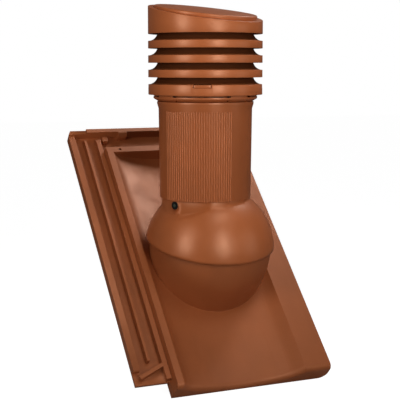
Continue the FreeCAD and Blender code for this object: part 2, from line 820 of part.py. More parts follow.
def lock_screw():
    """The dark screw that holds the hood's collar to the ring inside it."""
    seat = S.collar_radius + S.screw_boss_height
    tip = S.duct_radius + S.screw_tip_gap
    stem = primitive("Cylinder", "lock_screw_stem", Radius=S.screw_radius, Height=seat - tip)
    head = primitive("Cylinder", "lock_screw_head", Radius=S.screw_head_radius, Height=S.screw_head_height)
    recess = primitive("Prism", "lock_screw_socket", Circumradius=S.screw_socket, Height=S.screw_head_height)
    recess.Polygon = 6
    for item, reach in ((stem, tip), (head, seat), (recess, seat + S.screw_head_height / 2)):
        item.Placement = FreeCAD.Placement(Vector(-reach.value, 0, S.screw_height.value),
                                           FreeCAD.Rotation(AXIS_Y, -90))
        item.setExpression("Placement.Base.x", (-reach).text)
        item.setExpression("Placement.Base.z", S.screw_height.text)
    whole = boolean("Fuse", "lock_screw_whole", stem, head)
    screw = boolean("Cut", "lock_screw", whole, recess)
    turn_about_z(screw, S.screw_turn)
    return keep("lock_screw", screw)


def collar_seal():
    """The rubber ring in the collar's groove, between the collar and the outer pipe."""
    low = S.seal_height - S.seal_width / 2 + S.slip_gap / 2
    high = S.seal_height + S.seal_width / 2 - S.slip_gap / 2
    inner = S.collar_radius - S.seal_depth + S.slip_gap / 2
    outer = pipe_radius(low) - S.pipe_wall - S.slip_gap / 2
    return plain_ring("collar_seal", inner, outer, low, high)


# Outer pipe and what lies between the two walls

def rib_corners(side, radius):
    """A rib's section on the pipe's skin, on the side that faces up or down the Y axis."""
    root_half, tip_half = S.rib_width / 2, S.rib_width / 4
    sunk, tip = (radius - S.rib_proud) * side, (radius + S.rib_proud) * side
    return [(-root_half, sunk), (-tip_half, tip), (tip_half, tip), (root_half, sunk)]


def outer_pipe():
    """The drafted pipe with its bell, its stop on the collar and its two fields of ribs."""
    body = new_body("outer_pipe")
    stop_top = S.collar_top + S.stop_height
    stop_in = S.collar_radius - S.hood_wall
    bell_in = bell_radius() - S.bell_wall
    spun(body, [
        (pipe_foot_radius() - S.pipe_wall, S.pipe_bottom),
        (pipe_foot_radius(), S.pipe_bottom),
        (pipe_head_radius(), S.pipe_neck),
        (bell_radius(), S.bell_bottom),
        (bell_radius(), S.bell_top),
        (bell_in, S.bell_top),
        (bell_in, S.bell_bottom),
        (pipe_radius(S.pipe_neck) - S.pipe_wall, S.pipe_neck),
        (pipe_radius(stop_top) - S.pipe_wall, stop_top),
        (stop_in, stop_top),
        (stop_in, S.collar_top),
        (pipe_radius(S.collar_top) - S.pipe_wall, S.collar_top),
    ])
    for side in (-1, 1):
        foot = draw(body, "XY_Plane", rib_corners(side, pipe_foot_radius()), S.pipe_bottom)
        head = draw(body, "XY_Plane", rib_corners(side, pipe_radius(S.rib_top)), S.rib_top)
        rib = body.newObject("PartDesign::AdditiveLoft", "pipe_rib")
        rib.Profile = foot
        rib.Sections = [head]
        rib.Ruled = True
        ringed(body, rib, int(S.rib_count.value), S.rib_sector.value)
    turn_about_z(body, S.pipe_turn)
    return keep("outer_pipe", body)


def insulation_sleeve():
    bottom = S.collar_top + S.stop_height
    outer = pipe_radius(bottom) - S.pipe_wall - S.slip_gap
    return plain_ring("insulation_sleeve", S.duct_radius + S.slip_gap, outer, bottom, S.sleeve_top)


def duct_spacer():
    """Centres the duct in the pipe's head, on top of the sleeve."""
    outer = pipe_radius(S.sleeve_top) - S.pipe_wall - S.slip_gap
    return plain_ring("duct_spacer", S.duct_radius + S.slip_gap, outer, S.sleeve_top,
                      S.sleeve_top + S.spacer_height)


# Cap

def louvre_corners(bottom, face_top):
    """A louvre's section: an upright face, a hollow flare that turns up behind the next louvre,
    and a flat ledge under it for the tabs of the louvre below."""
    radius = S.cap_radius
    neck = radius - S.flare_radius
    inside = neck - S.cap_wall
    centre = face_top + S.flare_radius
    under = S.flare_radius + S.cap_wall
    ledge = face_top - S.face_height + S.ledge_rise
    ledge_radius = radius - root(under * under - (centre - ledge) * (centre - ledge))
    skirt = radius - S.cap_wall
    skirt_top = centre - root(under * under - S.cap_wall * S.cap_wall)
    top = centre + S.flare_lift
    return [
        (skirt, bottom),
        (radius, bottom),
        (radius, face_top, -S.flare_radius),
        (neck, centre),
        (neck, top),
        (inside, top),
        (inside, ledge),
        (ledge_radius, ledge, under),
        (skirt, skirt_top),
    ]


def stand_tabs(body, face_top):
    """Four tabs on the flare's top that carry the next louvre."""
    neck = S.cap_radius - S.flare_radius
    top = face_top + S.flare_radius + S.flare_lift
    reach = S.louvre_pitch + S.ledge_rise - S.face_height - S.flare_radius - S.flare_lift
    tab = draw(body, "XY_Plane", sector(neck - S.cap_wall, neck, S.tab_angle), top)
    ringed(body, raised(body, tab, reach), 4)


def louvre_ring(name, rank):
    body = new_body(name)
    bottom = S.louvre_bottom + S.louvre_pitch * rank
    spun(body, louvre_corners(bottom, bottom + S.face_height))
    stand_tabs(body, bottom + S.face_height)
    turn_about_z(body, S.cap_turn)
    return keep(name, body)


def base_ring():
    """The lowest louvre, deeper than the rest, with four windows for the collar's hooks."""
    body = new_body("base_ring")
    face_top = S.louvre_bottom - S.louvre_pitch + S.face_height
    spun(body, louvre_corners(S.base_bottom, face_top))
    stand_tabs(body, face_top)
    opening = sector(S.cap_radius - S.window_depth, S.cap_radius + SPARE, S.tab_angle)
    windows(body, opening, face_top - S.tab_height, S.tab_height + SPARE)
    turn_about_z(body, S.hook_turn)
    return keep("base_ring", body)


def snap_collar():
    """Joins the cap to the pipe: a spigot in the pipe's mouth, a slitted cone, and four hooks."""
    body = new_body("snap_collar")
    bell_in = bell_radius() - S.bell_wall
    spigot = bell_in - S.running_gap
    bore = spigot - S.cap_wall
    seat = S.bell_top + S.seat_gap
    cone_foot = bell_radius() - S.cone_step
    clip = S.cap_radius - S.cap_wall - S.slip_gap
    shelf = S.cone_top + S.shelf_rise
    cone_in = S.cone_radius - S.cap_wall
    spun(body, [
        (bore, seat - S.collar_spigot),
        (spigot - S.pipe_wall, seat - S.collar_spigot),
        (spigot, seat),
        (cone_foot, seat),
        (S.cone_radius, S.cone_top),
        (S.cone_radius, shelf),
        (clip, shelf),
        (clip, S.collar_clip),
        (clip - S.cap_wall, S.collar_clip),
        (clip - S.cap_wall, shelf + S.cap_wall),
        (cone_in, shelf + S.cap_wall),
        (cone_in, S.cone_top + S.cap_wall / 2),
        (bore, seat + S.cap_wall),
    ])
    face_top = S.louvre_bottom - S.louvre_pitch + S.face_height
    hook_low = face_top - S.tab_height + S.slip_gap
    stem = draw(body, "XY_Plane", sector(clip - S.cap_wall, clip, S.hook_angle), S.collar_clip)
    ringed(body, raised(body, stem, hook_low - S.collar_clip), 4)
    nose = sector(clip - S.cap_wall, S.cap_radius - S.hook_gap, S.hook_angle)
    hook = draw(body, "XY_Plane", nose, hook_low)
    ringed(body, raised(body, hook, S.tab_height - S.slip_gap * 2), 4)
    through, beyond = cone_in - SPARE, S.cone_radius + SPARE
    windows(body, sector(through, beyond, S.slit_angle, S.slit_turn), S.slit_level, S.slit_height)
    end_level = S.slit_level + (S.slit_height - S.slit_end_height) / 2
    for side in (-1, 1):
        turn = S.slit_turn + S.slit_angle / 2 * side
        windows(body, sector(through, beyond, S.slit_end, turn), end_level, S.slit_end_height)
        notch = sector(cone_foot - S.notch_depth, beyond, S.notch_angle, turn)
        windows(body, notch, seat, S.notch_height)
    turn_about_z(body, S.hook_turn)
    return keep("snap_collar", body)


def slanted_space(name, height, upper):
    return half_space(name, AXIS_X, S.slope, height, upper)


def tube_rod(name, radius, bottom, top):
    """A plain cylinder that starts at a height on the Z axis."""
    rod = primitive("Cylinder", name, Radius=radius, Height=top - bottom)
    rod.Placement = FreeCAD.Placement(AXIS_Z * bottom.value, FreeCAD.Rotation())
    rod.setExpression("Placement.Base.z", bottom.text)
    return rod


def tube(name, outer, inner, bottom, top):
    """A tube between two heights as a cut of two cylinders."""
    solid = tube_rod(name + "_solid", outer, bottom, top)
    hollow = tube_rod(name + "_hollow", inner, bottom - SPARE, top + SPARE)
    return boolean("Cut", name, solid, hollow)


def crown_foot():
    return S.louvre_bottom + S.louvre_pitch * len(LOUVRES)


def crown_height():
    """Where the crown's slanted roof crosses the axis."""
    return crown_foot() + S.crown_rise


def crown():
    """The top louvre: a face cut on the slant, a roof with a round seat for the lid, and an inner
    skirt that stands on the tabs below."""
    bottom = crown_foot()
    top = crown_height() + S.cap_radius
    wall = tube("crown_wall", S.cap_radius, S.cap_radius - S.cap_wall, bottom, top)
    neck = S.cap_radius - S.flare_radius
    skirt = tube("crown_skirt", neck, neck - S.cap_wall, bottom + S.ledge_rise, top)
    slab = tube("crown_slab", S.cap_radius, S.lid_spigot + S.slip_gap, bottom, top)
    under = slanted_space("crown_under_roof", crown_height() - S.roof_wall, False)
    roof = boolean("Cut", "crown_roof", slab, under)
    upright = boolean("Fuse", "crown_upright", wall, skirt)
    whole = boolean("Fuse", "crown_whole", upright, roof)
    above = slanted_space("crown_above", crown_height(), True)
    finished = boolean("Cut", "crown", whole, above)
    turn_about_z(finished, S.cap_turn)
    return keep("crown", finished)


def cap_lid():
    """The raised lid, set in the crown's slanted seat; its top leans a little less than its foot."""
    thick = S.lid_height * 2
    disc = tube_rod("cap_lid_disc", S.lid_radius, as_size(0), thick)
    spigot = tube_rod("cap_lid_spigot", S.lid_spigot, -S.lid_spigot_depth, S.lid_grip)
    above = half_space("cap_lid_above", -AXIS_X, S.lid_taper, S.lid_height, True)
    topped = boolean("Cut", "cap_lid_topped", disc, above)
    whole = boolean("Fuse", "cap_lid_whole", topped, spigot)
    DOC.recompute()
    lid = DOC.addObject("Part::Fillet", "cap_lid")
    lid.Base = whole
    rims = [rank for rank, edge in enumerate(whole.Shape.Edges, start=1)
            if edge.Curve.TypeId == "Part::GeomEllipse"]
    lid.Edges = [(rank, S.lid_round.value, S.lid_round.value) for rank in rims]
    spin = FreeCAD.Rotation(AXIS_Z, S.cap_turn.value).multiply(FreeCAD.Rotation(AXIS_X, S.slope.value))
    lid.Placement = FreeCAD.Placement(AXIS_Z * crown_height().value, spin)
    lid.setExpression("Placement.Base.z", crown_height().text)
    return keep("cap_lid", lid)


def build():
    base_tile()
    for side, word in ((-1, "left"), (1, "right")):
        pivot_cap("pivot_cap_" + word, side)
        pivot_screws("pivot_screws_" + word, side)
    pivot_ring()
    inner_duct()
    duct_lock_ring()
    hood()
    centre_ring()
    lock_screw()
    collar_seal()
    outer_pipe()
    insulation_sleeve()
    duct_spacer()
    snap_collar()
    base_ring()
    for rank, word in enumerate(LOUVRES):
        louvre_ring("louvre_ring_" + word, rank)
    crown()
    cap_lid()


def check():
    """Stops the build if any object failed or any sub-part is not a sound solid."""
    faults = [item.Name for item in DOC.Objects if "Invalid" in item.State or "Error" in item.State]
    for name, item in NODES.items():
        shape = item.Shape
        if shape.isNull() or not shape.isValid() or not shape.Solids:
            faults.append(name)
    if faults:
        raise SystemExit("failed: " + ", ".join(faults))


build()
DOC.recompute()
check()
os.makedirs("parts", exist_ok=True)
for node, part in NODES.items():
    part.Shape.exportStep("parts/%s.step" % node)
    print(node, len(part.Shape.Solids), round(part.Shape.Volume))
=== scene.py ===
import json
import math

import bmesh
import bpy
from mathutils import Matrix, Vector

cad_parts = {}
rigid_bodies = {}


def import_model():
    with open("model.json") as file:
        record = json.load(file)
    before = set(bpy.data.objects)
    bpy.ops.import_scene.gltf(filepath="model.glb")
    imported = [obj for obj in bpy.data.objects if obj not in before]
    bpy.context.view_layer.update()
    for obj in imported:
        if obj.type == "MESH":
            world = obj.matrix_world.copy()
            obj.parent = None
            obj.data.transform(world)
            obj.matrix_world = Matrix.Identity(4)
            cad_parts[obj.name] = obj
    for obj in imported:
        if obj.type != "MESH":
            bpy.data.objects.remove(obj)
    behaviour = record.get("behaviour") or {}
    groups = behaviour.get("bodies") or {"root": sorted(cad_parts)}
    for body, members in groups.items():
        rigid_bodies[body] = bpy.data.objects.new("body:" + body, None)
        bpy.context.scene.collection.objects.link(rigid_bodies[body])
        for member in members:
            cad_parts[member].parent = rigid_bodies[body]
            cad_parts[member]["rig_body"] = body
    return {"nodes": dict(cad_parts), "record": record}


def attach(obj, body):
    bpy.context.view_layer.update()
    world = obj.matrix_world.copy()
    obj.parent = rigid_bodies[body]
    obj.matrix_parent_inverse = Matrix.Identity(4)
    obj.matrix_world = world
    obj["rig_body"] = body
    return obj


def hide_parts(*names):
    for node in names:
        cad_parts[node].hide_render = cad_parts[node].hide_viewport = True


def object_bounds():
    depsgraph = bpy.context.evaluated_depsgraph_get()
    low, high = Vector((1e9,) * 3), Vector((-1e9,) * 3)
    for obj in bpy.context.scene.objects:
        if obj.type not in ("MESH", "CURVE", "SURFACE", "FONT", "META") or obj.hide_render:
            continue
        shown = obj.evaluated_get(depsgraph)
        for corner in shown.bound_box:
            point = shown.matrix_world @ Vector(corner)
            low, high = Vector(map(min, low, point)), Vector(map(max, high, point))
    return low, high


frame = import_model()
cad_low, cad_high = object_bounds()
material_slots = {entry["node"]: entry["material_slot"] for entry in frame["record"]["subparts"]}
MM = 0.001

# The pipe with its bell and stop, in millimetres, as in the part
pipe_bottom = 73.2
pipe_foot_radius = 62.8
pipe_head_radius = 64.2
pipe_neck = 195.4
pipe_wall = 2
bell_radius = 66.2
bell_inner = 62.2
bell_bottom = 202.2
bell_top = 204.9
stop_bottom = 94
stop_top = 97
stop_radius = 57.9
pipe_steps = 144
pipe_edge = 0.3

# The ribs, in millimetres and degrees
rib_top = 192.5
rib_count = 29
rib_sector = 86.0
rib_middle = -33.0
rib_radius = 1.1
rib_proud = 0.8
rib_sides = 12

# The lock screw: its height in millimetres, its turn round the pipe in degrees, its paler recess
screw_height = 66.8
screw_turn = 26.4
screw_slot_radius = 2.4

# How the meshes are finished, in millimetres and degrees
moulding_edge = 0.4
bevel_angle = 40.0
seam = 0.002
flat_angle = 0.4
crisp_angle = 32.0
tile_crisp_angle = 14.0

# The louvres' painted shade in their gaps: two distances from the pipe's axis and the height it
# starts at, in millimetres
louvre_gap_shade = (71.0, 76.5, 224.0)

# The camera, fitted to the photograph's perspective
camera_place = (-520.9, -1244.0, 253.4)
camera_azimuth = 22.41
camera_pitch = 7.83
camera_lens = 88.0
camera_film = 36.0

# The studio, in metres and plain strengths
floor_reach = 6.0
floor_gap = 0.0005
floor_grey = (0.35, 0.35, 0.35, 1.0)
floor_glow = 0.96
world_fill = 0.08
white = (1.0, 1.0, 1.0, 1.0)

# The satin plastic's sheen: its strength and its colour when seen straight on
sheen = 0.9
sheen_tint = (1.0, 0.58, 0.38, 1.0)

# Depths of relief in metres
grain_depth = 0.00006
wave_depth = 0.0012
cell_depth = 0.0003
rubber_depth = 0.0001
screw_depth = 0.00005
turned_depth = 0.00004


# Node helpers

class Finish:
    """A material built of nodes round one Principled shader, in the object's own coordinates."""

    def __init__(self, name):
        self.material = bpy.data.materials.new(name)
        self.material.use_nodes = True
        self.tree = self.material.node_tree
        self.shader = self.tree.nodes["Principled BSDF"]
        self.place = self.add("ShaderNodeTexCoord").outputs["Object"]

    def add(self, kind, **settings):
        node = self.tree.nodes.new(kind)
        for name, value in settings.items():
            setattr(node, name, value)
        return node

    def link(self, source, target):
        self.tree.links.new(source, target)

    def plain(self, **values):
        """Sets sockets of the shader whose value is the same all over."""
        for name, value in values.items():
            self.shader.inputs[name.replace("_", " ")].default_value = value

    def stretched(self, scale):
        """The object's coordinates scaled, which draws a pattern out where the scale is small."""
        mapping = self.add("ShaderNodeMapping")
        mapping.inputs["Scale"].default_value = scale
        self.link(self.place, mapping.inputs["Vector"])
        return mapping.outputs["Vector"]

    def noise(self, scale, detail=3.0, rough=0.5, place=None):
        """A cloudy value from 0 to 1, with about this many clouds to the metre."""
        node = self.add("ShaderNodeTexNoise")
        node.inputs["Scale"].default_value = scale
        node.inputs["Detail"].default_value = detail
        node.inputs["Roughness"].default_value = rough
        self.link(place or self.place, node.inputs["Vector"])
        return node.outputs["Fac"]

    def ramp(self, source, stops):
        """Colours a value by stops, each a position and a colour."""
        node = self.add("ShaderNodeValToRGB")
        ramp = node.color_ramp
        while len(ramp.elements) < len(stops):
            ramp.elements.new(0.5)
        for element, (position, colour) in zip(ramp.elements, stops):
            element.position = position
            element.color = (*colour, 1.0)
        self.link(source, node.inputs["Fac"])
        return node.outputs["Color"]

    def range(self, source, low, high, start=0.3, end=0.7):
        """Maps a value from start and end to low and high, and holds it there beyond them."""
        node = self.add("ShaderNodeMapRange")
        node.inputs["From Min"].default_value = start
        node.inputs["From Max"].default_value = end
        node.inputs["To Min"].default_value = low
        node.inputs["To Max"].default_value = high
        self.link(source, node.inputs["Value"])
        return node.outputs["Result"]

    def blend(self, factor, first, second):
        """Mixes two colours. The node's colour sockets share their names, so they go by number."""
        node = self.add("ShaderNodeMix", data_type="RGBA")
        sockets = (node.inputs["Factor"], node.inputs[6], node.inputs[7])
        for socket, value in zip(sockets, (factor, first, second)):
            if isinstance(value, tuple):
                socket.default_value = (*value, 1.0)
            else:
                self.link(value, socket)
        return node.outputs[2]

    def bump(self, source, distance, strength, under=None):
        """Fine relief of a depth in metres, laid on another normal if one is given."""
        node = self.add("ShaderNodeBump")
        node.inputs["Distance"].default_value = distance
        node.inputs["Strength"].default_value = strength
        self.link(source, node.inputs["Height"])
        if under is not None:
            self.link(under, node.inputs["Normal"])
        return node.outputs["Normal"]

    def paint(self, colour, rough, normal):
        """Feeds the shader and returns the material. A rough of None leaves the plain value."""
        for source, name in ((colour, "Base Color"), (rough, "Roughness"), (normal, "Normal")):
            if source is not None:
                self.link(source, self.shader.inputs[name])
        return self.material


def tone(red, green, blue):
    """A screen colour, given from 0 to 255, as the shader takes it."""
    parts = [value / 255 for value in (red, green, blue)]
    return tuple(
        part / 12.92 if part <= 0.04045 else ((part + 0.055) / 1.055) ** 2.4
        for part in parts)


def shaded(colour, factor):
    """A colour made darker or lighter."""
    return tuple(part * factor for part in colour)


# Materials

def shade_gaps(look, body, colour, gap_shade):
    """Darkens the inner walls near the pipe's axis and above a height: painted shade for the gaps
    between the louvres.
    """
    inner, outer, foot = (length * MM for length in gap_shade)
    level = look.add("ShaderNodeVectorMath", operation="MULTIPLY")
    level.inputs[1].default_value = (1.0, 1.0, 0.0)
    look.link(look.place, level.inputs[0])
    length = look.add("ShaderNodeVectorMath", operation="LENGTH")
    look.link(level.outputs["Vector"], length.inputs[0])
    near = look.range(length.outputs["Value"], 1.0, 0.0, inner, outer)
    split = look.add("ShaderNodeSeparateXYZ")
    look.link(look.place, split.inputs[0])
    above = look.range(split.outputs["Z"], 0.0, 1.0, foot, foot + MM)
    inside = look.add("ShaderNodeMath", operation="MULTIPLY")
    look.link(near, inside.inputs[0])
    look.link(above, inside.inputs[1])
    # The painted shade is a fifth of the plastic's own colour.
    return look.blend(inside.outputs[0], body, shaded(colour, 0.2))


def terracotta(name, colour, streak, roughness, edge=0.5, metal=0.0, grit=0.35, gap_shade=None):
    """Through-coloured satin plastic: cloudy tone, faint flow marks, a fine moulded grain.

    streak: the scale of the flow marks along x, y and z.
    edge: the radius in millimetres over which the shading rounds an edge.
    metal: how far the sheen takes the plastic's own colour.
    grit: the strength of the grain.
    soot: where painted shade darkens the inner walls, as in louvre_gap_shade.
    """
    look = Finish(name)
    cloud = look.noise(14.0, 4.0, 0.55)
    stops = [(0.25, shaded(colour, 0.86)), (0.55, colour), (0.8, shaded(colour, 1.12))]
    body = look.ramp(cloud, stops)
    flow = look.noise(60.0, 3.0, 0.6, look.stretched(streak))
    body = look.blend(look.range(flow, 0.0, 0.16, 0.35, 0.75), body, shaded(colour, 0.66))
    speck = look.noise(950.0, 2.0, 0.6)
    body = look.blend(look.range(speck, 0.0, 0.10, 0.5, 0.8), body, shaded(colour, 1.5))
    # Painted shade in the louvres' gaps, where little light reaches.
    if gap_shade:
        body = shade_gaps(look, body, colour, gap_shade)
    rough = look.range(look.noise(35.0, 4.0, 0.6), roughness - 0.045, roughness + 0.06)
    soft = look.add("ShaderNodeBevel", samples=8)
    soft.inputs["Radius"].default_value = edge * MM
    grain = look.bump(look.noise(1500.0, 2.0, 0.5), grain_depth, grit, soft.outputs["Normal"])
    waves = look.bump(look.noise(9.0, 2.0, 0.4), wave_depth, 0.10, grain)
    look.plain(Specular_IOR_Level=sheen, Specular_Tint=sheen_tint, Metallic=metal)
    return look.paint(body, rough, waves)


def moulded_grey():
    """Plain grey plastic of the hidden parts."""
    look = Finish("inner_grey_plastic")
    colour = tone(112, 113, 116)
    stops = [(0.3, shaded(colour, 0.88)), (0.7, shaded(colour, 1.08))]
    body = look.ramp(look.noise(20.0, 4.0), stops)
    rough = look.range(look.noise(60.0, 3.0), 0.42, 0.55)
    return look.paint(body, rough, look.bump(look.noise(1300.0, 2.0), grain_depth, 0.4))


def pale_foam():
    """Fine foam of small cells."""
    look = Finish("insulation_foam")
    cells = look.add("ShaderNodeTexVoronoi", feature="DISTANCE_TO_EDGE")
    cells.inputs["Scale"].default_value = 520.0
    look.link(look.place, cells.inputs["Vector"])
    edge = cells.outputs["Distance"]
    body = look.ramp(edge, [(0.0, tone(176, 176, 172)), (0.25, tone(214, 214, 210))])
    look.plain(Roughness=0.9)
    return look.paint(body, None, look.bump(edge, cell_depth, 0.5))


def black_rubber():
    """Matt rubber of the seal."""
    look = Finish("seal_rubber")
    body = look.ramp(look.noise(80.0, 3.0), [(0.3, tone(24, 24, 25)), (0.7, tone(38, 38, 39))])
    rough = look.range(look.noise(300.0, 3.0), 0.6, 0.78)
    return look.paint(body, rough, look.bump(look.noise(900.0), rubber_depth, 0.3))


def blackened_steel():
    """Black round a paler recess, which lies on the screw's own line."""
    look = Finish("lock_screw_black")
    dark = [(0.35, tone(12, 13, 12)), (0.75, tone(30, 32, 29))]
    pale = [(0.35, tone(62, 68, 58)), (0.75, tone(96, 103, 90))]
    rim = look.ramp(look.noise(260.0, 4.0, 0.6), dark)
    centre = look.ramp(look.noise(300.0, 3.0, 0.6), pale)
    offset = look.add("ShaderNodeVectorMath", operation="SUBTRACT")
    offset.inputs[1].default_value = (0.0, 0.0, screw_height * MM)
    look.link(look.place, offset.inputs[0])
    across = look.add("ShaderNodeVectorMath", operation="CROSS_PRODUCT")
    angle = math.radians(screw_turn)
    across.inputs[1].default_value = (math.cos(angle), math.sin(angle), 0.0)
    look.link(offset.outputs["Vector"], across.inputs[0])
    far = look.add("ShaderNodeVectorMath", operation="LENGTH")
    look.link(across.outputs["Vector"], far.inputs[0])
    inner, outer = (screw_slot_radius - 0.4) * MM, screw_slot_radius * MM
    body = look.blend(look.range(far.outputs["Value"], 0.0, 1.0, inner, outer), centre, rim)
    look.plain(Metallic=0.55)
    rough = look.range(look.noise(500.0, 3.0), 0.3, 0.5)
    return look.paint(body, rough, look.bump(look.noise(1500.0), screw_depth, 0.4))


def plain_steel():
    """Bright steel with faint marks of turning."""
    look = Finish("screw_steel")
    stops = [(0.3, tone(140, 141, 143)), (0.75, tone(190, 191, 192))]
    body = look.ramp(look.noise(300.0, 4.0, 0.6), stops)
    look.plain(Metallic=1.0)
    turned = look.noise(500.0, 2.0, 0.5, look.stretched((1.0, 1.0, 6.0)))
    return look.paint(body, look.range(turned, 0.25, 0.42), look.bump(turned, turned_depth, 0.4))


# Mesh helpers

def new_piece(name, mesh, material, body, slot, *nodes):
    """Puts a finished mesh in the scene, on its body, and hides the nodes it stands for."""
    piece = bpy.data.objects.new(name, mesh)
    bpy.context.scene.collection.objects.link(piece)
    mesh.materials.clear()
    mesh.materials.append(material)
    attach(piece, body)
    if nodes:
        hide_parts(*nodes)
    return piece


def settle_shading(mesh, angle=crisp_angle):
    """Round faces shade smoothly, and edges sharper than the angle stay crisp."""
    for face in mesh.polygons:
        face.use_smooth = True
    mesh.set_sharp_from_angle(angle=math.radians(angle))


def merged_copy(node):
    """A node's mesh with its loose triangles joined and its flat areas made whole again."""
    form = bmesh.new()
    form.from_mesh(frame["nodes"][node].data)
    bmesh.ops.remove_doubles(form, verts=form.verts, dist=seam * MM)
    bmesh.ops.dissolve_degenerate(form, edges=form.edges, dist=seam * MM)
    bmesh.ops.dissolve_limit(
        form, angle_limit=math.radians(flat_angle), verts=form.verts, edges=form.edges)
    mesh = bpy.data.meshes.new(node + "_merged")
    form.to_mesh(mesh)
    form.free()
    return mesh


def evaluated_mesh(name, holder):
    """The plain mesh that an object's modifiers give, after which the object is deleted."""
    bpy.context.view_layer.update()
    graph = bpy.context.evaluated_depsgraph_get()
    mesh = bpy.data.meshes.new_from_object(holder.evaluated_get(graph))
    mesh.name = name
    holder.modifiers.clear()
    bpy.data.objects.remove(holder)
    return mesh


def rounded(name, mesh, width):
    """Breaks a mesh's sharp edges with a small radius, as a mould does."""
    holder = bpy.data.objects.new(name + "_holder", mesh)
    bpy.context.scene.collection.objects.link(holder)
    bevel = holder.modifiers.new("edge_radius", "BEVEL")
    bevel.width = width * MM
    bevel.segments = 2
    bevel.limit_method = "ANGLE"
    bevel.angle_limit = math.radians(bevel_angle)
    bevel.use_clamp_overlap = False
    return evaluated_mesh(name, holder)


def dressed(node, material, width=0.0, angle=crisp_angle):
    """A node's own shape with smooth shading, and broken edges where it is given their width."""
    mesh = merged_copy(node)
    if width:
        mesh = rounded(node + "_dressed", mesh, width)
    settle_shading(mesh, angle)
    body = frame["nodes"][node]["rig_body"]
    return new_piece(node + "_dressed", mesh, material, body, material_slots[node], node)


# Geometry node helpers

class Tree:
    """A geometry node group with named inputs, which ends in realised instances and a material."""

    def __init__(self, name):
        self.group = bpy.data.node_groups.new(name, "GeometryNodeTree")
        self.group.interface.new_socket(
            "Geometry", in_out="OUTPUT", socket_type="NodeSocketGeometry")
        self.start = self.group.nodes.new("NodeGroupInput")
        self.inputs = []

    def size(self, name, value, kind="NodeSocketFloat"):
        """Adds a named input and keeps the value that the modifier gets for it."""
        socket = self.group.interface.new_socket(name, in_out="INPUT", socket_type=kind)
        self.inputs.append((socket.identifier, value))
        return self.start.outputs[name]

    def add(self, kind, inputs=None, **settings):
        node = self.group.nodes.new(kind)
        for name, value in settings.items():
            setattr(node, name, value)
        for name, value in (inputs or {}).items():
            self.feed(node.inputs[name], value)
        return node

    def feed(self, socket, value):
        if isinstance(value, bpy.types.NodeSocket):
            self.group.links.new(value, socket)
        else:
            socket.default_value = value

    def reckon(self, operation, first, second):
        """One step of arithmetic on two values."""
        node = self.add("ShaderNodeMath", {0: first, 1: second}, operation=operation)
        return node.outputs[0]

    def vector(self, x=0.0, y=0.0, z=0.0):
        return self.add("ShaderNodeCombineXYZ", {"X": x, "Y": y, "Z": z}).outputs[0]

    def finish(self, geometry, material):
        """Ends the tree, so that the mesh is real and carries its material."""
        real = self.add("GeometryNodeRealizeInstances", {"Geometry": geometry})
        tinted = self.add(
            "GeometryNodeSetMaterial", {"Geometry": real.outputs[0], "Material": material})
        end = self.group.nodes.new("NodeGroupOutput")
        self.group.links.new(tinted.outputs[0], end.inputs["Geometry"])

    def mesh(self, name):
        """Runs the group on an empty object and returns the plain mesh it makes."""
        holder = bpy.data.objects.new(name + "_holder", bpy.data.meshes.new(name + "_empty"))
        bpy.context.scene.collection.objects.link(holder)
        modifier = holder.modifiers.new("build", "NODES")
        modifier.node_group = self.group
        for identifier, value in self.inputs:
            modifier[identifier] = value
        return evaluated_mesh(name, holder)


def pipe_shell_mesh():
    """The pipe with its bell and its stop, without ribs, turned from its section."""
    def bore(level):
        """The radius of the tapered pipe's inner wall at a height."""
        draft = (pipe_head_radius - pipe_foot_radius) / (pipe_neck - pipe_bottom)
        return pipe_foot_radius + draft * (level - pipe_bottom) - pipe_wall

    section = [
        (pipe_foot_radius - pipe_wall, pipe_bottom),
        (pipe_foot_radius, pipe_bottom),
        (pipe_head_radius, pipe_neck),
        (bell_radius, bell_bottom),
        (bell_radius, bell_top),
        (bell_inner, bell_top),
        (bell_inner, bell_bottom),
        (pipe_head_radius - pipe_wall, pipe_neck),
        (bore(stop_top), stop_top),
        (stop_radius, stop_top),
        (stop_radius, stop_bottom),
        (bore(stop_bottom), stop_bottom),
    ]
    form = bmesh.new()
    rings = []
    for step in range(pipe_steps):
        angle = 2 * math.pi * step / pipe_steps
        across, along = math.cos(angle) * MM, math.sin(angle) * MM
        rings.append([form.verts.new((r * across, r * along, z * MM)) for r, z in section])
    for step in range(pipe_steps):
        here, beyond = rings[step], rings[(step + 1) % pipe_steps]
        for point in range(len(section)):
            following = (point + 1) % len(section)
            form.faces.new((here[point], beyond[point], beyond[following], here[following]))
    bmesh.ops.recalc_face_normals(form, faces=form.faces)
    mesh = bpy.data.meshes.new("pipe_shell")
    form.to_mesh(mesh)
    form.free()
    return rounded("pipe_shell", mesh, pipe_edge)


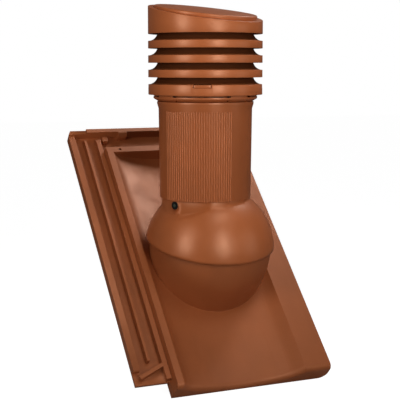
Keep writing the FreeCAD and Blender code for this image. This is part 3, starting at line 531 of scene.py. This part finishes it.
def rib_field_mesh(name, material, middle):
    """Upright round ribs side by side, sunk into the drafted pipe so that they stand proud."""
    tree = Tree("rib_field")
    count = tree.size("Ribs", rib_count, "NodeSocketInt")
    sector = tree.size("Sector", math.radians(rib_sector))
    centre = tree.size("Middle", math.radians(middle))
    foot = tree.size("Foot Radius", (pipe_foot_radius + rib_proud - rib_radius) * MM)
    reach = tree.size("Draft", (pipe_head_radius - pipe_foot_radius) * MM)
    low = tree.size("Foot Height", pipe_bottom * MM)
    high = tree.size("Head Height", rib_top * MM)
    thick = tree.size("Rib Radius", rib_radius * MM)
    foot_line = tree.reckon("MULTIPLY", foot, -1.0)
    head_line = tree.reckon("MULTIPLY", tree.reckon("ADD", foot, reach), -1.0)
    axis = tree.add("GeometryNodeCurvePrimitiveLine", {
        "Start": tree.vector(y=foot_line, z=low),
        "End": tree.vector(y=head_line, z=high),
    })
    section = tree.add(
        "GeometryNodeCurvePrimitiveCircle", {"Resolution": rib_sides, "Radius": thick},
        mode="RADIUS")
    rib = tree.add("GeometryNodeCurveToMesh", {
        "Curve": axis.outputs[0], "Profile Curve": section.outputs[0], "Fill Caps": True})
    points = tree.add("GeometryNodePoints", {"Count": count})
    rank = tree.add("GeometryNodeInputIndex").outputs[0]
    share = tree.reckon("DIVIDE", rank, tree.reckon("SUBTRACT", count, 1.0))
    from_middle = tree.reckon("MULTIPLY", tree.reckon("SUBTRACT", share, 0.5), sector)
    angle = tree.reckon("ADD", from_middle, centre)
    turn = tree.add("FunctionNodeEulerToRotation", {"Euler": tree.vector(z=angle)})
    ribs = tree.add("GeometryNodeInstanceOnPoints", {
        "Points": points.outputs[0], "Instance": rib.outputs[0], "Rotation": turn.outputs[0]})
    tree.finish(ribs.outputs[0], material)
    return tree.mesh(name)


# The object

brown = tone(161, 86, 45)
upright = (0.3, 0.3, 1.0)
# The one brown is given lighter or darker part by part, from the cap at 1.02 down to the tile at
# 0.80, for how bright each part looks under the light: painted light and shade.
tile_plastic = terracotta(
    "tile_terracotta", shaded(brown, 0.80), (1.0, 0.25, 0.25), 0.50, metal=0.12)
hood_plastic = terracotta("hood_terracotta", shaded(brown, 0.94), (1.0, 1.0, 0.2), 0.36, edge=6.0)
pipe_plastic = terracotta("pipe_terracotta", shaded(brown, 0.88), upright, 0.36, edge=0.08)
# The ribs are lighter than the pipe between them: a painted highlight on the ribs.
rib_plastic = terracotta(
    "rib_terracotta", shaded(brown, 0.96), upright, 0.36, edge=0.08, grit=0.02)
cap_plastic = terracotta("cap_terracotta", shaded(brown, 1.02), (0.35, 0.35, 1.0), 0.37)
# The louvres get painted shade in their gaps.
louvre_plastic = terracotta(
    "louvre_terracotta", shaded(brown, 1.02), (0.35, 0.35, 1.0), 0.37, gap_shade=louvre_gap_shade)
grey = moulded_grey()
foam = pale_foam()
rubber = black_rubber()
black = blackened_steel()
steel = plain_steel()

dressed("base_tile", tile_plastic, angle=tile_crisp_angle)
dressed("hood", hood_plastic)
shell = pipe_shell_mesh()
settle_shading(shell)
new_piece("pipe_shell", shell, pipe_plastic, "head", "pipe_plastic", "outer_pipe")
for node in ("snap_collar", "crown", "cap_lid"):
    dressed(node, cap_plastic, moulding_edge)
for node in ("base_ring", "louvre_ring_lower", "louvre_ring_middle", "louvre_ring_upper"):
    dressed(node, louvre_plastic, moulding_edge)
for node in ("inner_duct", "duct_lock_ring", "pivot_ring", "pivot_cap_left", "pivot_cap_right",
             "centre_ring", "duct_spacer"):
    dressed(node, grey)
dressed("insulation_sleeve", foam)
dressed("collar_seal", rubber)
dressed("lock_screw", black)
for side in ("left", "right"):
    dressed("pivot_screws_" + side, steel)
for side, middle in (("front", rib_middle), ("back", rib_middle + 180.0)):
    ribs = rib_field_mesh("pipe_ribs_" + side, rib_plastic, middle)
    settle_shading(ribs)
    new_piece("pipe_ribs_" + side, ribs, rib_plastic, "head", "pipe_plastic")


# Studio

def white_when_seen(tree, shader, strength):
    """Adds plain white light that only the camera sees, so that a surface reads as white."""
    nodes, links = tree.nodes, tree.links
    ray = nodes.new("ShaderNodeLightPath")
    glow = nodes.new("ShaderNodeEmission")
    power = nodes.new("ShaderNodeMath")
    power.operation = "MULTIPLY"
    power.inputs[1].default_value = strength
    links.new(ray.outputs["Is Camera Ray"], power.inputs[0])
    links.new(power.outputs[0], glow.inputs["Strength"])
    both = nodes.new("ShaderNodeAddShader")
    links.new(shader, both.inputs[0])
    links.new(glow.outputs[0], both.inputs[1])
    return both.outputs[0]


def pale_floor():
    """A floor just below the part, which looks white and still takes its shadow."""
    mesh = bpy.data.meshes.new("floor")
    reach, level = floor_reach, cad_low.z - floor_gap
    corners = [(-reach, -reach, level), (reach, -reach, level),
               (reach, reach, level), (-reach, reach, level)]
    mesh.from_pydata(corners, [], [(0, 1, 2, 3)])
    floor = bpy.data.objects.new("floor", mesh)
    bpy.context.scene.collection.objects.link(floor)
    material = bpy.data.materials.new("pale_floor")
    material.use_nodes = True
    tree = material.node_tree
    base = tree.nodes["Principled BSDF"]
    base.inputs["Base Color"].default_value = floor_grey
    base.inputs["Roughness"].default_value = 0.95
    surface = white_when_seen(tree, base.outputs[0], floor_glow)
    tree.links.new(surface, tree.nodes["Material Output"].inputs["Surface"])
    mesh.materials.append(material)


def white_world():
    """A weak white fill for the part, and plain white where the camera sees the world itself."""
    world = bpy.data.worlds.new("studio")
    world.use_nodes = True
    bpy.context.scene.world = world
    nodes, links = world.node_tree.nodes, world.node_tree.links
    fill = nodes["Background"]
    fill.inputs["Color"].default_value = white
    fill.inputs["Strength"].default_value = world_fill
    seen = nodes.new("ShaderNodeBackground")
    seen.inputs["Color"].default_value = white
    seen.inputs["Strength"].default_value = 1.0
    ray = nodes.new("ShaderNodeLightPath")
    mix = nodes.new("ShaderNodeMixShader")
    links.new(ray.outputs["Is Camera Ray"], mix.inputs[0])
    links.new(fill.outputs[0], mix.inputs[1])
    links.new(seen.outputs[0], mix.inputs[2])
    links.new(mix.outputs[0], nodes["World Output"].inputs["Surface"])


def soft_box(name, place, aim, width, height, spread, power):
    """A rectangular light with places in metres, a spread in degrees and a power in watts."""
    lamp = bpy.data.lights.new(name, "AREA")
    lamp.shape = "RECTANGLE"
    lamp.size, lamp.size_y = width, height
    lamp.spread = math.radians(spread)
    lamp.energy = power
    holder = bpy.data.objects.new(name, lamp)
    holder.location = place
    holder.rotation_euler = (Vector(aim) - Vector(place)).to_track_quat("-Z", "Y").to_euler()
    bpy.context.scene.collection.objects.link(holder)


def place_camera():
    """The photograph's viewing angle, from the fitted place and direction."""
    data = bpy.data.cameras.new("camera")
    data.lens = camera_lens
    data.sensor_width = camera_film
    data.clip_start, data.clip_end = 0.05, 50.0
    holder = bpy.data.objects.new("camera", data)
    spin, dip = math.radians(camera_azimuth), math.radians(camera_pitch)
    look = Vector((math.sin(spin) * math.cos(dip), math.cos(spin) * math.cos(dip), -math.sin(dip)))
    holder.location = Vector(camera_place) * MM
    holder.rotation_euler = look.to_track_quat("-Z", "Y").to_euler()
    bpy.context.scene.collection.objects.link(holder)
    bpy.context.scene.camera = holder


pale_floor()
white_world()
for lamp in (
        ("box_left", (-0.95, -0.46, 0.43), (0.0, 0.0, 0.28), 0.3, 0.8, 84.0, 1.4),
        ("box_right", (0.04, -1.05, 0.40), (0.0, 0.0, 0.28), 0.28, 0.8, 84.0, 1.6),
        ("box_high", (0.12, -0.5, 0.9), (0.0, 0.0, 0.15), 0.5, 0.3, 110.0, 0.65),
        ("box_behind", (0.5, 0.36, 0.85), (-0.07, 0.19, 0.14), 0.6, 0.4, 48.0, 0.7),
        ("box_side", (0.85, -0.7, 0.2), (0.0, 0.0, 0.05), 0.5, 0.6, 90.0, 0.3)):
    soft_box(*lamp)
place_camera()
bpy.context.scene.view_settings.view_transform = "Standard"
